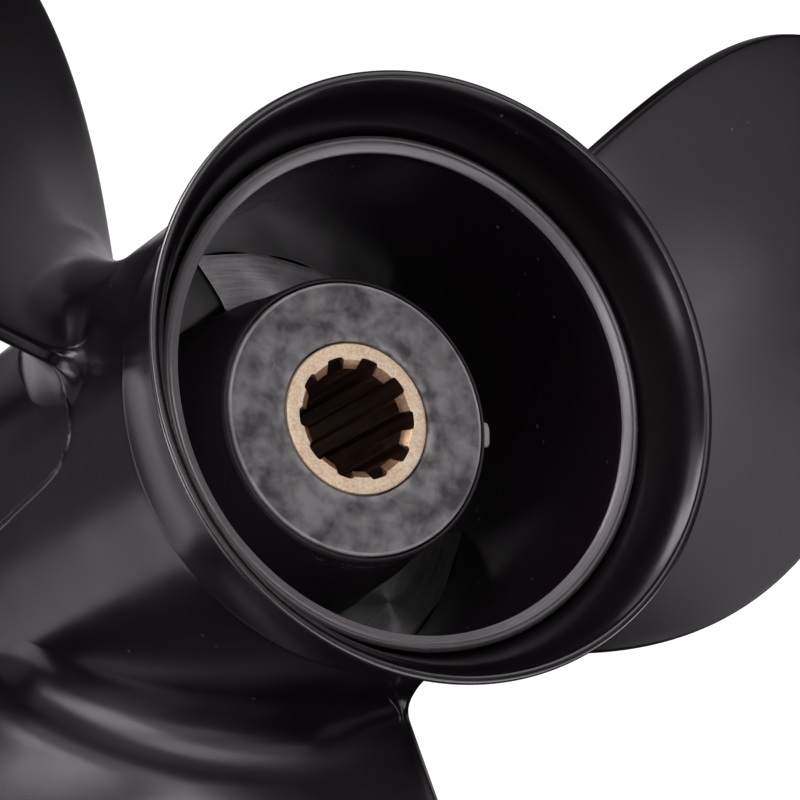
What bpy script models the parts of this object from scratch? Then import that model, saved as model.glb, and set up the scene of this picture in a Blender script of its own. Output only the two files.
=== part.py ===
"""Outboard-motor boat propeller: three right-hand blades on a through-hub
exhaust barrel, with a flared diffuser ring pressed over the barrel's aft end
and a splined bronze sleeve carried in a rubber bush.

Frame: metres, +Z is the shaft axis and points aft.  The propeller stands on
the forward face of its barrel (Z = 0) with the origin on the axis.
"""
import bpy
import bmesh
import math

MM = 0.001

# ---------------------------------------------------------------- dimensions
HUB_LENGTH = 127.0        # forward barrel face to the lip of the diffuser
BARREL_R = 44.9           # 3.5 inch gearcase class barrel
BORE_R = 40.6             # bored inside of the barrel
SEAM_Z = 101.9            # forward edge of the diffuser ring
SPIGOT_R = 43.6           # turned end of the barrel, inside the ring
RIM_Z = 115.4             # aft end of the barrel
LIP_R = 50.9              # flared lip of the ring
GAP = 0.3                 # clearance kept between neighbouring solids

SHELF_Z = 58.0            # aft faces of the three webs
WEB_FRONT_Z = 20.0
WEB_START = 55.0          # degrees, first web
WEB_END = 111.0

TUBE_FRONT_Z = 13.0       # inner hub tube
TUBE_AFT_Z = 95.7
TUBE_OUT_R = 28.5
TUBE_AFT_R = 24.9
TUBE_BORE_R = 24.1
STOP_R = 17.0             # inward flange that stops the bush
STOP_Z = 25.7

BUSH_R = 23.8             # rubber bush
BUSH_FRONT_Z = 26.0
BUSH_AFT_Z = 96.0

SLEEVE_R = 13.16          # bronze sleeve
SLEEVE_FRONT_Z = 15.0
SLEEVE_AFT_Z = 95.9
TEETH = 10
SPLINE_MAJOR_R = 10.78
SPLINE_MINOR_R = 8.95
SLOT_WIDTH = 3.2
LEAD_IN_R = 10.27         # lead-in chamfer on the tooth tips
SPLINE_PHASE = 5.7        # degrees, middle of the first slot

BLADES = 3
BLADE_A = 141.0           # degrees, reference azimuth of the first blade
TIP_R = 141.5             # 283 mm diameter, 11-1/8 inch
PITCH = 366.0             # millimetres advance per turn
ROOT_R = 45.2
BLADE_Z = 49.5            # axial place of the reference line at the root
RAKE = 0.227              # aft rake, millimetres per millimetre of radius
TIP_ANGLE = 15.96         # degrees, azimuth of the tip from the reference
# edge azimuth = TIP_ANGLE + c1 u + c2 u^2 + c3 u^3 ..., where u is
# 1 at the root and 0 at the tip: sqrt(1 - (r - ROOT_R) / (TIP_R - ROOT_R))
TRAILING = (10.83, 47.09, -85.63, 40.86)
LEADING = (-112.77, 71.16, -6.02, -6.17)
ROOT_THICK = 9.0
TIP_THICK = 2.6
EDGE_THICK_TE = 2.4
EDGE_THICK_LE = 1.4
FILLET_PRESSURE = 13.0
FILLET_SUCTION = 9.0
FILLET_EDGE = 6.0


# ------------------------------------------------------------------- helpers
def clear_scene():
    for ob in list(bpy.data.objects):
        bpy.data.objects.remove(ob, do_unlink=True)


def material(name, colour, roughness, metallic):
    m = bpy.data.materials.new(name)
    m.use_nodes = True
    b = m.node_tree.nodes["Principled BSDF"]
    b.inputs["Base Color"].default_value = (*colour, 1.0)
    b.inputs["Roughness"].default_value = roughness
    b.inputs["Metallic"].default_value = metallic
    return m


def to_object(name, bm, mat, sharp=35.0):
    bmesh.ops.recalc_face_normals(bm, faces=bm.faces)
    if bm.calc_volume(signed=True) < 0:
        bmesh.ops.reverse_faces(bm, faces=bm.faces)
    me = bpy.data.meshes.new(name)
    bm.to_mesh(me)
    bm.free()
    me.shade_smooth()
    me.set_sharp_from_angle(angle=math.radians(sharp))
    ob = bpy.data.objects.new(name, me)
    bpy.context.scene.collection.objects.link(ob)
    me.materials.append(mat)
    return ob


def turned(name, profile, segments, mat, arc=360.0, start=0.0):
    """A closed profile of (radius, z) in millimetres, spun about Z."""
    bm = bmesh.new()
    c, s = math.cos(math.radians(start)), math.sin(math.radians(start))
    vs = [bm.verts.new((r * c * MM, r * s * MM, z * MM)) for r, z in profile]
    face = bm.faces.new(vs)
    full = arc >= 360.0
    if full:
        edges = list(face.edges)
        bm.faces.remove(face)
        bmesh.ops.spin(bm, geom=vs + edges, cent=(0, 0, 0), axis=(0, 0, 1),
                       angle=math.radians(360.0), steps=segments, use_merge=True)
        bmesh.ops.remove_doubles(bm, verts=bm.verts, dist=1e-7)
    else:
        ret = bmesh.ops.spin(bm, geom=[face] + list(face.edges) + vs, cent=(0, 0, 0),
                             axis=(0, 0, 1), angle=math.radians(arc), steps=segments)
        bmesh.ops.remove_doubles(bm, verts=bm.verts, dist=1e-7)
    return to_object(name, bm, mat)


def rounded(centre, radius, a0, a1, n):
    """Points of an arc in the (radius, z) plane."""
    out = []
    for i in range(n + 1):
        a = math.radians(a0 + (a1 - a0) * i / n)
        out.append((centre[0] + radius * math.cos(a), centre[1] + radius * math.sin(a)))
    return out


# -------------------------------------------------------------------- blades
def edge_angle(coef, u):
    return TIP_ANGLE + sum(c * u ** (i + 1) for i, c in enumerate(coef))


def smooth_step(x):
    x = min(1.0, max(0.0, x))
    return x * x * (3.0 - 2.0 * x)


def fillet(r, rad):
    d = r - ROOT_R
    if d >= rad:
        return 0.0
    return rad - math.sqrt(max(0.0, rad * rad - (rad - d) ** 2))


def section(r, sides, cap):
    """One blade section on the cylinder of radius r, as two lists of (angle, z):
    the aft face and the forward face, both from leading to trailing edge.  Each
    holds half of the round leading edge, the side and half of the trailing edge."""
    rr = min(r, TIP_R - 0.02)
    h = (rr - ROOT_R) / (TIP_R - ROOT_R)
    u = math.sqrt(1.0 - h)
    te, le = edge_angle(TRAILING, u), edge_angle(LEADING, u)
    beta = math.atan(PITCH / (2.0 * math.pi * rr))
    along = (math.cos(beta), math.sin(beta))        # toward the trailing edge
    press = (-math.sin(beta), math.cos(beta))       # toward the aft face
    thick = ROOT_THICK + (TIP_THICK - ROOT_THICK) * h ** 0.75
    to_tip = (TIP_R - rr) / (0.5 * TIP_THICK)
    if to_tip < 1.0:                                # round the tip over
        thick *= math.sqrt(1.0 - (1.0 - to_tip) ** 2)
    chord = math.radians(te - le) * rr / math.cos(beta)
    base = (math.radians(le) * rr, BLADE_Z + PITCH * le / 360.0 + RAKE * (rr - ROOT_R))
    grow_e = fillet(rr, FILLET_EDGE)
    faces = []
    for side, grow_m in ((1.0, fillet(rr, FILLET_PRESSURE)), (-1.0, fillet(rr, FILLET_SUCTION))):
        pts = []                                    # (along, press, normal along, normal press, grow)
        for end, edge in ((0, EDGE_THICK_LE), (1, EDGE_THICK_TE)):
            e = min(edge, 0.8 * thick)
            out = -1.0 if end == 0 else 1.0
            half = []
            for k in range(cap):
                w = math.radians(90.0 * (2 * k + 1) / (2 * cap + 1))
                half.append((chord * end + out * 0.5 * e * math.cos(w),
                             -0.16 * e + side * 0.5 * e * math.sin(w),
                             out * math.cos(w), side * math.sin(w), grow_e))
            if end == 0:
                pts += half
                for k in range(sides):
                    s = 0.5 - 0.5 * math.cos(math.pi * k / (sides - 1))
                    ed = EDGE_THICK_LE + (EDGE_THICK_TE - EDGE_THICK_LE) * s
                    ed = min(ed, 0.8 * thick)
                    t = ed + (thick - ed) * (4.0 * s * (1.0 - s)) ** 0.6
                    # the aft face stays nearly flat, the forward face carries the belly
                    off = 0.34 * t if side > 0 else -0.66 * t
                    w = smooth_step(min(s, 1.0 - s) / 0.2)
                    pts.append((chord * s, off, 0.0, side, grow_m * w + grow_e * (1.0 - w)))
            else:
                pts += half[::-1]
        face = []
        for x, y, nx, ny, g in pts:
            x += nx * g
            y += ny * g
            face.append(((base[0] + along[0] * x + press[0] * y) / rr,
                         base[1] + along[1] * x + press[1] * y))
        faces.append(face)
    return faces


def blade(name, azimuth, mat, sides=13, cap=2):
    radii = [ROOT_R + d for d in (0.0, 0.5, 1.4, 2.8, 4.8, 7.4, 10.4, 14.0)]
    steps = 12
    r0 = radii[-1]
    for i in range(1, steps):
        v = i / steps
        radii.append(r0 + (TIP_R - 1.6 - r0) * (1.0 - (1.0 - v) ** 1.7))
    radii += [TIP_R - 1.3, TIP_R - 0.75, TIP_R - 0.3, TIP_R - 0.05]
    bm = bmesh.new()
    turn = math.radians(azimuth)

    def vert(r, phi, z):
        return bm.verts.new((r * math.cos(phi + turn) * MM, r * math.sin(phi + turn) * MM, z * MM))

    rings = []
    for r in radii:
        aft, fore = section(r, sides, cap)
        rings.append(([vert(r, p, z) for p, z in aft], [vert(r, p, z) for p, z in fore]))
    n = len(rings[0][0])
    for lo, hi in zip(rings, rings[1:]):
        a = lo[0] + lo[1][::-1]
        b = hi[0] + hi[1][::-1]
        for i in range(2 * n):
            j = (i + 1) % (2 * n)
            bm.faces.new((a[i], a[j], b[j], b[i]))
    aft, fore = rings[-1]                       # tip: strip by strip
    for i in range(n - 1):
        bm.faces.new((aft[i], aft[i + 1], fore[i + 1], fore[i]))
    across = 7                                  # foot: a grid that follows the barrel
    pa, pb = section(ROOT_R, sides, cap)
    rows = []
    for i in range(1, n - 1):
        row = [rings[0][0][i]]
        for j in range(1, across):
            f = j / across
            row.append(vert(ROOT_R, pa[i][0] + (pb[i][0] - pa[i][0]) * f,
                            pa[i][1] + (pb[i][1] - pa[i][1]) * f))
        row.append(rings[0][1][i])
        rows.append(row)
    for lo, hi in zip(rows, rows[1:]):
        for j in range(across):
            bm.faces.new((lo[j], lo[j + 1], hi[j + 1], hi[j]))
    mid = across // 2
    for row, i in ((rows[0], 0), (rows[-1], n - 1)):
        a, b = rings[0][0][i], rings[0][1][i]
        for j in range(across):
            bm.faces.new((a if j < mid else b, row[j], row[j + 1]))
        bm.faces.new((a, row[mid], b))
    return to_object(name, bm, mat, 40.0)


# -------------------------------------------------------------------- sleeve
def spline_outline():
    """Inner outline of the sleeve as (radius, angle) for one turn."""
    pts = []
    step = 2.0 * math.pi / TEETH
    for k in range(TEETH):
        mid = math.radians(SPLINE_PHASE) + k * step
        a_major = math.asin(SLOT_WIDTH / 2.0 / SPLINE_MAJOR_R)
        a_minor = math.asin(SLOT_WIDTH / 2.0 / SPLINE_MINOR_R)
        for f in (-1.0, 0.0, 1.0):
            pts.append((SPLINE_MAJOR_R, mid + f * a_major))
        land = step - 2.0 * a_minor
        for f in (0.0, 0.5, 1.0):
            pts.append((SPLINE_MINOR_R, mid + a_minor + f * land))
    return pts


def splined_sleeve(name, mat):
    outline = spline_outline()
    n = len(outline)
    bm = bmesh.new()

    def ring(rule, z):
        return [bm.verts.new((rule(r) * math.cos(a) * MM, rule(r) * math.sin(a) * MM, z * MM))
                for r, a in outline]

    ch = LEAD_IN_R - SPLINE_MINOR_R
    rings = [
        ring(lambda r: SLEEVE_R - 0.6, SLEEVE_FRONT_Z),
        ring(lambda r: SLEEVE_R, SLEEVE_FRONT_Z + 0.6),
        ring(lambda r: SLEEVE_R, SLEEVE_AFT_Z - 0.4),
        ring(lambda r: SLEEVE_R - 0.4, SLEEVE_AFT_Z),
        ring(lambda r: max(r, LEAD_IN_R), SLEEVE_AFT_Z),
        ring(lambda r: r, SLEEVE_AFT_Z - ch),
        ring(lambda r: r, SLEEVE_FRONT_Z + ch),
        ring(lambda r: max(r, LEAD_IN_R), SLEEVE_FRONT_Z),
    ]
    for a, b in zip(rings, rings[1:] + rings[:1]):
        for i in range(n):
            j = (i + 1) % n
            bm.faces.new((a[i], a[j], b[j], b[i]))
    return to_object(name, bm, mat, 30.0)


# --------------------------------------------------------------------- build
def build():
    clear_scene()
    black = material("black_paint", (0.012, 0.012, 0.013), 0.35, 0.0)
    black_in = material("black_paint_inner", (0.008, 0.008, 0.009), 0.45, 0.0)
    machined = material("painted_machined_web", (0.10, 0.10, 0.105), 0.45, 0.2)
    ring_mat = material("black_ring", (0.014, 0.014, 0.015), 0.30, 0.0)
    rubber = material("bush_rubber", (0.10, 0.10, 0.105), 0.55, 0.0)
    bronze = material("sleeve_bronze", (0.62, 0.44, 0.28), 0.38, 0.9)

    # barrel: forward face, outside, turned spigot, rounded rim, bore
    rim_mid = 0.5 * (BORE_R + SPIGOT_R)
    rim_half = 0.5 * (SPIGOT_R - BORE_R)
    profile = [(BORE_R + 0.8, 0.0), (BARREL_R - 1.0, 0.0), (BARREL_R - 0.3, 0.3),
               (BARREL_R, 1.0), (BARREL_R, 50.0), (BARREL_R, SEAM_Z - GAP),
               (SPIGOT_R, SEAM_Z - GAP)]
    profile += rounded((rim_mid, RIM_Z - rim_half), rim_half, 0.0, 180.0, 6)
    profile += [(BORE_R, SHELF_Z), (BORE_R, 0.8)]
    turned("hub_barrel", profile, 72, black)

    # diffuser ring: thin skirt over the spigot, then the flare to the lip
    skirt_in = SPIGOT_R + GAP
    lip_r = 0.9
    profile = [(skirt_in, SEAM_Z), (BARREL_R + 0.3, SEAM_Z)]
    n = 7
    for i in range(1, n + 1):                  # outside of the flare
        t = i / n
        z = SEAM_Z + (HUB_LENGTH - lip_r - SEAM_Z) * t
        r = BARREL_R + 0.3 + (LIP_R - BARREL_R - 0.3) * t ** 1.7
        profile.append((r, z))
    profile += rounded((LIP_R - lip_r, HUB_LENGTH - lip_r), lip_r, 30.0, 150.0, 4)
    for i in range(1, n + 1):                  # inside of the flare
        t = 1.0 - i / n
        z = RIM_Z - 1.6 + (HUB_LENGTH - lip_r - RIM_Z + 1.6) * t
        r = skirt_in + (LIP_R - 1.8 - skirt_in) * t ** 0.9
        profile.append((r, z))
    turned("diffuser_ring", profile, 72, ring_mat)

    # three wide webs that leave kidney-shaped exhaust passages between them
    for k in range(3):
        r0, r1 = TUBE_OUT_R + GAP, BORE_R - GAP
        turned("web_%d" % (k + 1),
               [(r0, WEB_FRONT_Z), (r1, WEB_FRONT_Z), (r1, SHELF_Z), (r0, SHELF_Z)],
               12, machined, arc=WEB_END - WEB_START, start=WEB_START + 120.0 * k)

    # inner hub tube with the stop flange at its forward end
    profile = [(STOP_R, TUBE_FRONT_Z), (TUBE_OUT_R - 1.0, TUBE_FRONT_Z),
               (TUBE_OUT_R, TUBE_FRONT_Z + 1.0), (TUBE_OUT_R, SHELF_Z + 2.0),
               (TUBE_OUT_R - 0.4, SHELF_Z + 7.0), (TUBE_AFT_R + 0.9, TUBE_AFT_Z - 9.0),
               (TUBE_AFT_R + 0.3, TUBE_AFT_Z - 1.0),
               (TUBE_AFT_R, TUBE_AFT_Z), (TUBE_BORE_R, TUBE_AFT_Z),
               (TUBE_BORE_R, STOP_Z), (STOP_R, STOP_Z)]
    turned("inner_hub", profile, 60, black_in)

    # rubber bush with its radiused faces
    profile = [(SLEEVE_R + GAP, BUSH_FRONT_Z), (BUSH_R - 1.5, BUSH_FRONT_Z),
               (BUSH_R, BUSH_FRONT_Z + 1.5), (BUSH_R, BUSH_AFT_Z - 0.5),
               (BUSH_R - 0.5, BUSH_AFT_Z), (SLEEVE_R + GAP, BUSH_AFT_Z)]
    turned("rubber_bush", profile, 60, rubber)

    splined_sleeve("splined_sleeve", bronze)

    for k in range(BLADES):
        blade("blade_%d" % (k + 1), BLADE_A - 120.0 * k, black)


build()
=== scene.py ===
"""Looks of an outboard-motor boat propeller: a satin black three-blade casting on
a through-hub exhaust barrel, a flared ring pressed over the barrel's aft end, and
a splined bronze sleeve held in a rubber bush.

Lengths in this file are millimetres unless a name says otherwise; +Z is the shaft
axis and points aft, and the propeller stands on the barrel's forward face.
"""

import bpy
import bmesh
import math
from mathutils import Matrix, Vector, noise


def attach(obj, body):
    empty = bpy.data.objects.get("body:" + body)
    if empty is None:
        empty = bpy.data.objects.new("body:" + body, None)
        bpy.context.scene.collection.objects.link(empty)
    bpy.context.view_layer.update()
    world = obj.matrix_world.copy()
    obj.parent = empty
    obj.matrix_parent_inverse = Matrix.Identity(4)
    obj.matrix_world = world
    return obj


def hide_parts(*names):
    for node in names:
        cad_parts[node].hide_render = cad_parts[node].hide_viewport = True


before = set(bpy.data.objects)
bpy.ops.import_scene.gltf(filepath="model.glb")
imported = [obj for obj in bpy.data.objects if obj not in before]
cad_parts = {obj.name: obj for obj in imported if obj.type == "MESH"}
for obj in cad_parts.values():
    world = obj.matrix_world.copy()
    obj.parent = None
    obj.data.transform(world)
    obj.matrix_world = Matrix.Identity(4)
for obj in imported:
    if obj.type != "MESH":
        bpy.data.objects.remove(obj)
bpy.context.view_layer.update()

MM = 0.001
TAU = 2.0 * math.pi

# ------------------------------------------------------------------ dimensions
HUB_LENGTH = 127.0
BARREL_R = 44.9
BORE_R = 40.6
SEAM_Z = 101.9
SPIGOT_R = 43.6
RIM_Z = 115.4
LIP_R = 50.9

SHELF_Z = 58.0
WEB_FRONT_Z = 20.0
WEB_START = 55.0
WEB_END = 111.0

TUBE_FRONT_Z = 13.0
TUBE_AFT_Z = 95.7
TUBE_OUT_R = 28.5
TUBE_AFT_R = 24.9
TUBE_BORE_R = 24.1
STOP_R = 17.0
STOP_Z = 25.7

BUSH_R = 23.8
BUSH_FRONT_Z = 26.0
BUSH_AFT_Z = 96.0

SLEEVE_R = 13.16
SLEEVE_FRONT_Z = 15.0
SLEEVE_AFT_Z = 95.9
TEETH = 10
SPLINE_MAJOR_R = 10.78
SPLINE_MINOR_R = 8.95
SLOT_WIDTH = 3.2
LEAD_IN_R = 10.27
SPLINE_PHASE = 5.7

BLADE_A = 141.0
TIP_R = 141.5
PITCH = 366.0
ROOT_R = 45.2
BLADE_Z = 49.5
RAKE = 0.227
TIP_ANGLE = 15.96
TRAILING = (10.83, 47.09, -85.63, 40.86)
LEADING = (-112.77, 71.16, -6.02, -6.17)
ROOT_THICK = 9.0
TIP_THICK = 2.6
EDGE_THICK_TE = 2.4
EDGE_THICK_LE = 1.4
FILLET_PRESSURE = 13.0
FILLET_SUCTION = 9.0
FILLET_EDGE = 6.0


# ---------------------------------------------------------------- small helpers
def smooth_step(x, lo=0.0, hi=1.0):
    x = min(1.0, max(0.0, (x - lo) / (hi - lo)))
    return x * x * (3.0 - 2.0 * x)


def fbm(x, y, z, octaves=3):
    """Smooth noise in about -1..1."""
    total, amp, norm = 0.0, 1.0, 0.0
    p = Vector((x, y, z))
    for _ in range(octaves):
        total += amp * noise.noise(p)
        norm += amp
        amp *= 0.5
        p = p * 2.03 + Vector((5.2, 1.3, 7.7))
    return total / norm * 1.6


def make(name, verts, faces, mats, body, face_mats=None, sharp=None, slot=None, replaces=()):
    """One mesh piece, given in millimetres, riding on a body."""
    me = bpy.data.meshes.new(name)
    me.from_pydata([(x * MM, y * MM, z * MM) for x, y, z in verts], [], faces)
    for m in mats:
        me.materials.append(m)
    if face_mats is not None:
        me.polygons.foreach_set("material_index", face_mats)
    bm = bmesh.new()
    bm.from_mesh(me)
    bmesh.ops.recalc_face_normals(bm, faces=bm.faces)
    if bm.calc_volume(signed=True) < 0:
        bmesh.ops.reverse_faces(bm, faces=bm.faces)
    bm.to_mesh(me)
    bm.free()
    me.shade_smooth()
    if sharp is not None:
        me.set_sharp_from_angle(angle=math.radians(sharp))
    ob = bpy.data.objects.new(name, me)
    bpy.context.scene.collection.objects.link(ob)
    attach(ob, body)
    if replaces:
        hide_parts(*replaces)
    return ob


def rounded(corners, n=5):
    """A closed outline of (radius, z), from corners (radius, z, rounding)."""
    out = []
    m = len(corners)
    for i, (r, z, rad) in enumerate(corners):
        p = Vector((r, z))
        if rad <= 0.0:
            out.append((r, z))
            continue
        d0 = (Vector(corners[i - 1][:2]) - p).normalized()
        d1 = (Vector(corners[(i + 1) % m][:2]) - p).normalized()
        ang = d0.angle(d1)
        if ang > math.radians(176.0):
            out.append((r, z))
            continue
        t = rad / math.tan(0.5 * ang)
        c = p + (d0 + d1).normalized() * (rad / math.sin(0.5 * ang))
        a, b = p + d0 * t - c, p + d1 * t - c
        a0, a1 = math.atan2(a.y, a.x), math.atan2(b.y, b.x)
        while a1 - a0 > math.pi:
            a1 -= TAU
        while a1 - a0 < -math.pi:
            a1 += TAU
        for k in range(n + 1):
            w = a0 + (a1 - a0) * k / n
            out.append((c.x + rad * math.cos(w), c.y + rad * math.sin(w)))
    return out


def densify(profile, step):
    out = []
    m = len(profile)
    for i in range(m):
        a, b = profile[i], profile[(i + 1) % m]
        d = math.hypot(b[0] - a[0], b[1] - a[1])
        k = max(1, int(math.ceil(d / step)))
        for j in range(k):
            f = j / k
            out.append((a[0] + (b[0] - a[0]) * f, a[1] + (b[1] - a[1]) * f))
    return out


def lathe(name, profile, segs, mats, body, warp=None, zone=None, **kw):
    """A closed (radius, z) outline turned about the shaft axis."""
    m = len(profile)
    verts, faces, fm = [], [], []
    for r, z in profile:
        for j in range(segs):
            a = TAU * j / segs
            rr, zz = (r, z) if warp is None else warp(r, z, a)
            verts.append((rr * math.cos(a), rr * math.sin(a), zz))
    for i in range(m):
        k = (i + 1) % m
        mid = (0.5 * (profile[i][0] + profile[k][0]), 0.5 * (profile[i][1] + profile[k][1]))
        mi = zone(*mid) if zone else 0
        for j in range(segs):
            l = (j + 1) % segs
            faces.append((i * segs + j, i * segs + l, k * segs + l, k * segs + j))
            fm.append(mi)
    return make(name, verts, faces, mats, body, face_mats=fm, **kw)


# -------------------------------------------------------------------- materials
class Nodes:
    """A small way to write node trees: each call adds one node."""

    def __init__(self, name):
        self.mat = bpy.data.materials.new(name)
        self.mat.use_nodes = True
        self.tree = self.mat.node_tree
        self.bsdf = self.tree.nodes["Principled BSDF"]
        self.out = self.tree.nodes["Material Output"]
        self.coord = self.add("ShaderNodeTexCoord").outputs["Object"]

    def add(self, kind, **props):
        n = self.tree.nodes.new(kind)
        for k, v in props.items():
            setattr(n, k, v)
        return n

    def link(self, a, b):
        self.tree.links.new(a, b)

    def scaled(self, sx, sy, sz, vec=None, rot=(0.0, 0.0, 0.0)):
        n = self.add("ShaderNodeMapping")
        self.link(vec or self.coord, n.inputs["Vector"])
        n.inputs["Scale"].default_value = (sx, sy, sz)
        n.inputs["Rotation"].default_value = rot
        return n.outputs["Vector"]

    def polar(self, kr, ka, kz):
        """(radius * kr, angle * ka, z * kz): textures that run round the axis.
        The angle enters as a point on a circle, so there is no joint in it."""
        sep = self.add("ShaderNodeSeparateXYZ")
        self.link(self.coord, sep.inputs[0])
        r = self.math("SQRT", self.math("ADD", self.math("MULTIPLY", sep.outputs[0], sep.outputs[0]),
                                        self.math("MULTIPLY", sep.outputs[1], sep.outputs[1])))
        comb = self.add("ShaderNodeCombineXYZ")
        c = self.math("DIVIDE", sep.outputs[0], r)
        s = self.math("DIVIDE", sep.outputs[1], r)
        u = self.math("ADD", self.math("MULTIPLY", r, kr), self.math("MULTIPLY", sep.outputs[2], kz))
        self.link(self.math("MULTIPLY", c, ka), comb.inputs[0])
        self.link(self.math("MULTIPLY", s, ka), comb.inputs[1])
        self.link(u, comb.inputs[2])
        return comb.outputs[0]

    def radius(self):
        """Distance from the shaft axis, in metres."""
        sep = self.add("ShaderNodeSeparateXYZ")
        self.link(self.coord, sep.inputs[0])
        return self.math("SQRT", self.math("ADD", self.math("MULTIPLY", sep.outputs[0], sep.outputs[0]),
                                           self.math("MULTIPLY", sep.outputs[1], sep.outputs[1])))

    def math(self, op, a, b=None, clamp=False):
        n = self.add("ShaderNodeMath", operation=op, use_clamp=clamp)
        for i, v in enumerate((a, b)):
            if v is None:
                continue
            if isinstance(v, (int, float)):
                n.inputs[i].default_value = v
            else:
                self.link(v, n.inputs[i])
        return n.outputs[0]

    def noise(self, vec, scale, detail=3.0, rough=0.5, dist=0.0):
        n = self.add("ShaderNodeTexNoise")
        self.link(vec, n.inputs["Vector"])
        n.inputs["Scale"].default_value = scale
        n.inputs["Detail"].default_value = detail
        n.inputs["Roughness"].default_value = rough
        n.inputs["Distortion"].default_value = dist
        return n.outputs["Fac"]

    def voronoi(self, vec, scale, feature="F1", rand=1.0):
        n = self.add("ShaderNodeTexVoronoi", feature=feature)
        self.link(vec, n.inputs["Vector"])
        n.inputs["Scale"].default_value = scale
        n.inputs["Randomness"].default_value = rand
        return n.outputs["Distance"]

    def ramp(self, fac, stops, interp="LINEAR"):
        n = self.add("ShaderNodeValToRGB")
        cr = n.color_ramp
        cr.interpolation = interp
        while len(cr.elements) < len(stops):
            cr.elements.new(0.5)
        for e, (p, c) in zip(cr.elements, stops):
            e.position = p
            e.color = (*c, 1.0) if isinstance(c, tuple) else (c, c, c, 1.0)
        self.link(fac, n.inputs["Fac"])
        return n.outputs["Color"]

    def span(self, fac, a0, a1, b0, b1):
        n = self.add("ShaderNodeMapRange", clamp=True)
        self.link(fac, n.inputs["Value"])
        for k, v in zip(("From Min", "From Max", "To Min", "To Max"), (a0, a1, b0, b1)):
            n.inputs[k].default_value = v
        return n.outputs["Result"]

    def mix(self, fac, a, b, kind="MIX"):
        n = self.add("ShaderNodeMix", data_type="RGBA", blend_type=kind)
        for sock, v in ((n.inputs[0], fac), (n.inputs[6], a), (n.inputs[7], b)):
            if isinstance(v, (int, float)):
                sock.default_value = v
            elif isinstance(v, tuple):
                sock.default_value = (*v, 1.0)
            else:
                self.link(v, sock)
        return n.outputs[2]

    def bump(self, height, strength, distance, normal=None):
        n = self.add("ShaderNodeBump")
        n.inputs["Strength"].default_value = strength
        n.inputs["Distance"].default_value = distance
        self.link(height, n.inputs["Height"])
        if normal is not None:
            self.link(normal, n.inputs["Normal"])
        return n.outputs["Normal"]

    def around(self, amount=0.8):
        """Turning marks that run round the axis stretch the highlight."""
        t = self.add("ShaderNodeTangent", direction_type="RADIAL", axis="Z")
        self.link(t.outputs["Tangent"], self.bsdf.inputs["Tangent"])
        self.bsdf.inputs["Anisotropic"].default_value = amount

    def set(self, **kw):
        for k, v in kw.items():
            sock = self.bsdf.inputs[k.replace("_", " ")]
            if isinstance(v, (int, float)):
                sock.default_value = v
            elif isinstance(v, tuple):
                sock.default_value = (*v, 1.0)
            else:
                self.link(v, sock)
        return self


def paint(name, dark=(0.0027, 0.0018, 0.0026), light=(0.0046, 0.0035, 0.0045), rough=(0.19, 0.28),
          peel=0.10, wave=0.22, turned=0.0, specks=0.5, gloss=0.36, dusty=0.0, flash=False, painted_light_ramp=None):
    """Satin black paint over a casting: slight orange peel, a hint of unevenness
    from the casting below, dust specks, and turning marks where it was machined."""
    n = Nodes(name)
    big = n.noise(n.coord, 22.0, 4.0, 0.55)
    mid = n.noise(n.coord, 120.0, 3.0, 0.6)
    fine = n.noise(n.coord, 1500.0, 2.0, 0.5)
    col = n.mix(n.span(big, 0.35, 0.68, 0.0, 1.0), dark, light)
    r = n.span(n.math("ADD", n.math("MULTIPLY", big, 0.6), n.math("MULTIPLY", mid, 0.4)), 0.35, 0.66, rough[0], rough[1])
    if specks > 0.0:
        v = n.voronoi(n.coord, 260.0)
        gate = n.noise(n.coord, 60.0, 2.0)
        dot = n.math("MULTIPLY", n.span(v, 0.05, 0.10, 1.0, 0.0), n.span(gate, 0.60 - dusty, 0.66 - dusty, 0.0, 1.0))
        col = n.mix(n.math("MULTIPLY", dot, specks), col, (0.10, 0.10, 0.10))
        r = n.math("ADD", r, n.math("MULTIPLY", dot, 0.25))
    if painted_light_ramp:
        # painted shade: the colour darkens from the inner edge of the band outward
        col = n.mix(1.0, col, n.span(n.radius(), painted_light_ramp[0] * MM, painted_light_ramp[1] * MM, 1.0, 0.30), "MULTIPLY")
    if flash:
        # pale dots along the flash ridge round the end of the tube, over part of its turn
        sep = n.add("ShaderNodeSeparateXYZ")
        n.link(n.coord, sep.inputs[0])
        dot_noise = n.noise(n.coord, 900.0, 3.0, 0.7)
        band = n.math("MULTIPLY", n.span(sep.outputs[2], 0.0912, 0.0920, 0.0, 1.0), n.span(sep.outputs[2], 0.0932, 0.0940, 1.0, 0.0))
        turn = n.math("ARCTAN2", sep.outputs[1], sep.outputs[0])
        band = n.math("MULTIPLY", band, n.span(turn, -1.94, -1.80, 0.0, 1.0))
        band = n.math("MULTIPLY", band, n.span(turn, -1.12, -0.98, 1.0, 0.0))
        spot = n.math("MULTIPLY", band, n.span(dot_noise, 0.54, 0.62, 0.0, 1.0))
        col = n.mix(spot, col, (0.20, 0.195, 0.195))
    nrm = n.bump(mid, wave, 0.00012)
    nrm = n.bump(fine, peel, 0.00003, nrm)
    if turned > 0.0:
        marks = n.noise(n.polar(2200.0, 2.0, 2200.0), 1.0, 3.0, 0.7)
        nrm = n.bump(marks, turned, 0.00003, nrm)
        r = n.math("ADD", r, n.span(marks, 0.35, 0.7, -0.03, 0.06))
    n.set(Base_Color=col, Roughness=r, Normal=nrm, Metallic=0.0, IOR=1.5)
    n.bsdf.inputs["Specular IOR Level"].default_value = gloss
    return n.mat


WEB_LEAN = 7.0                                       # degrees the far flank leans in by at the tube


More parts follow.
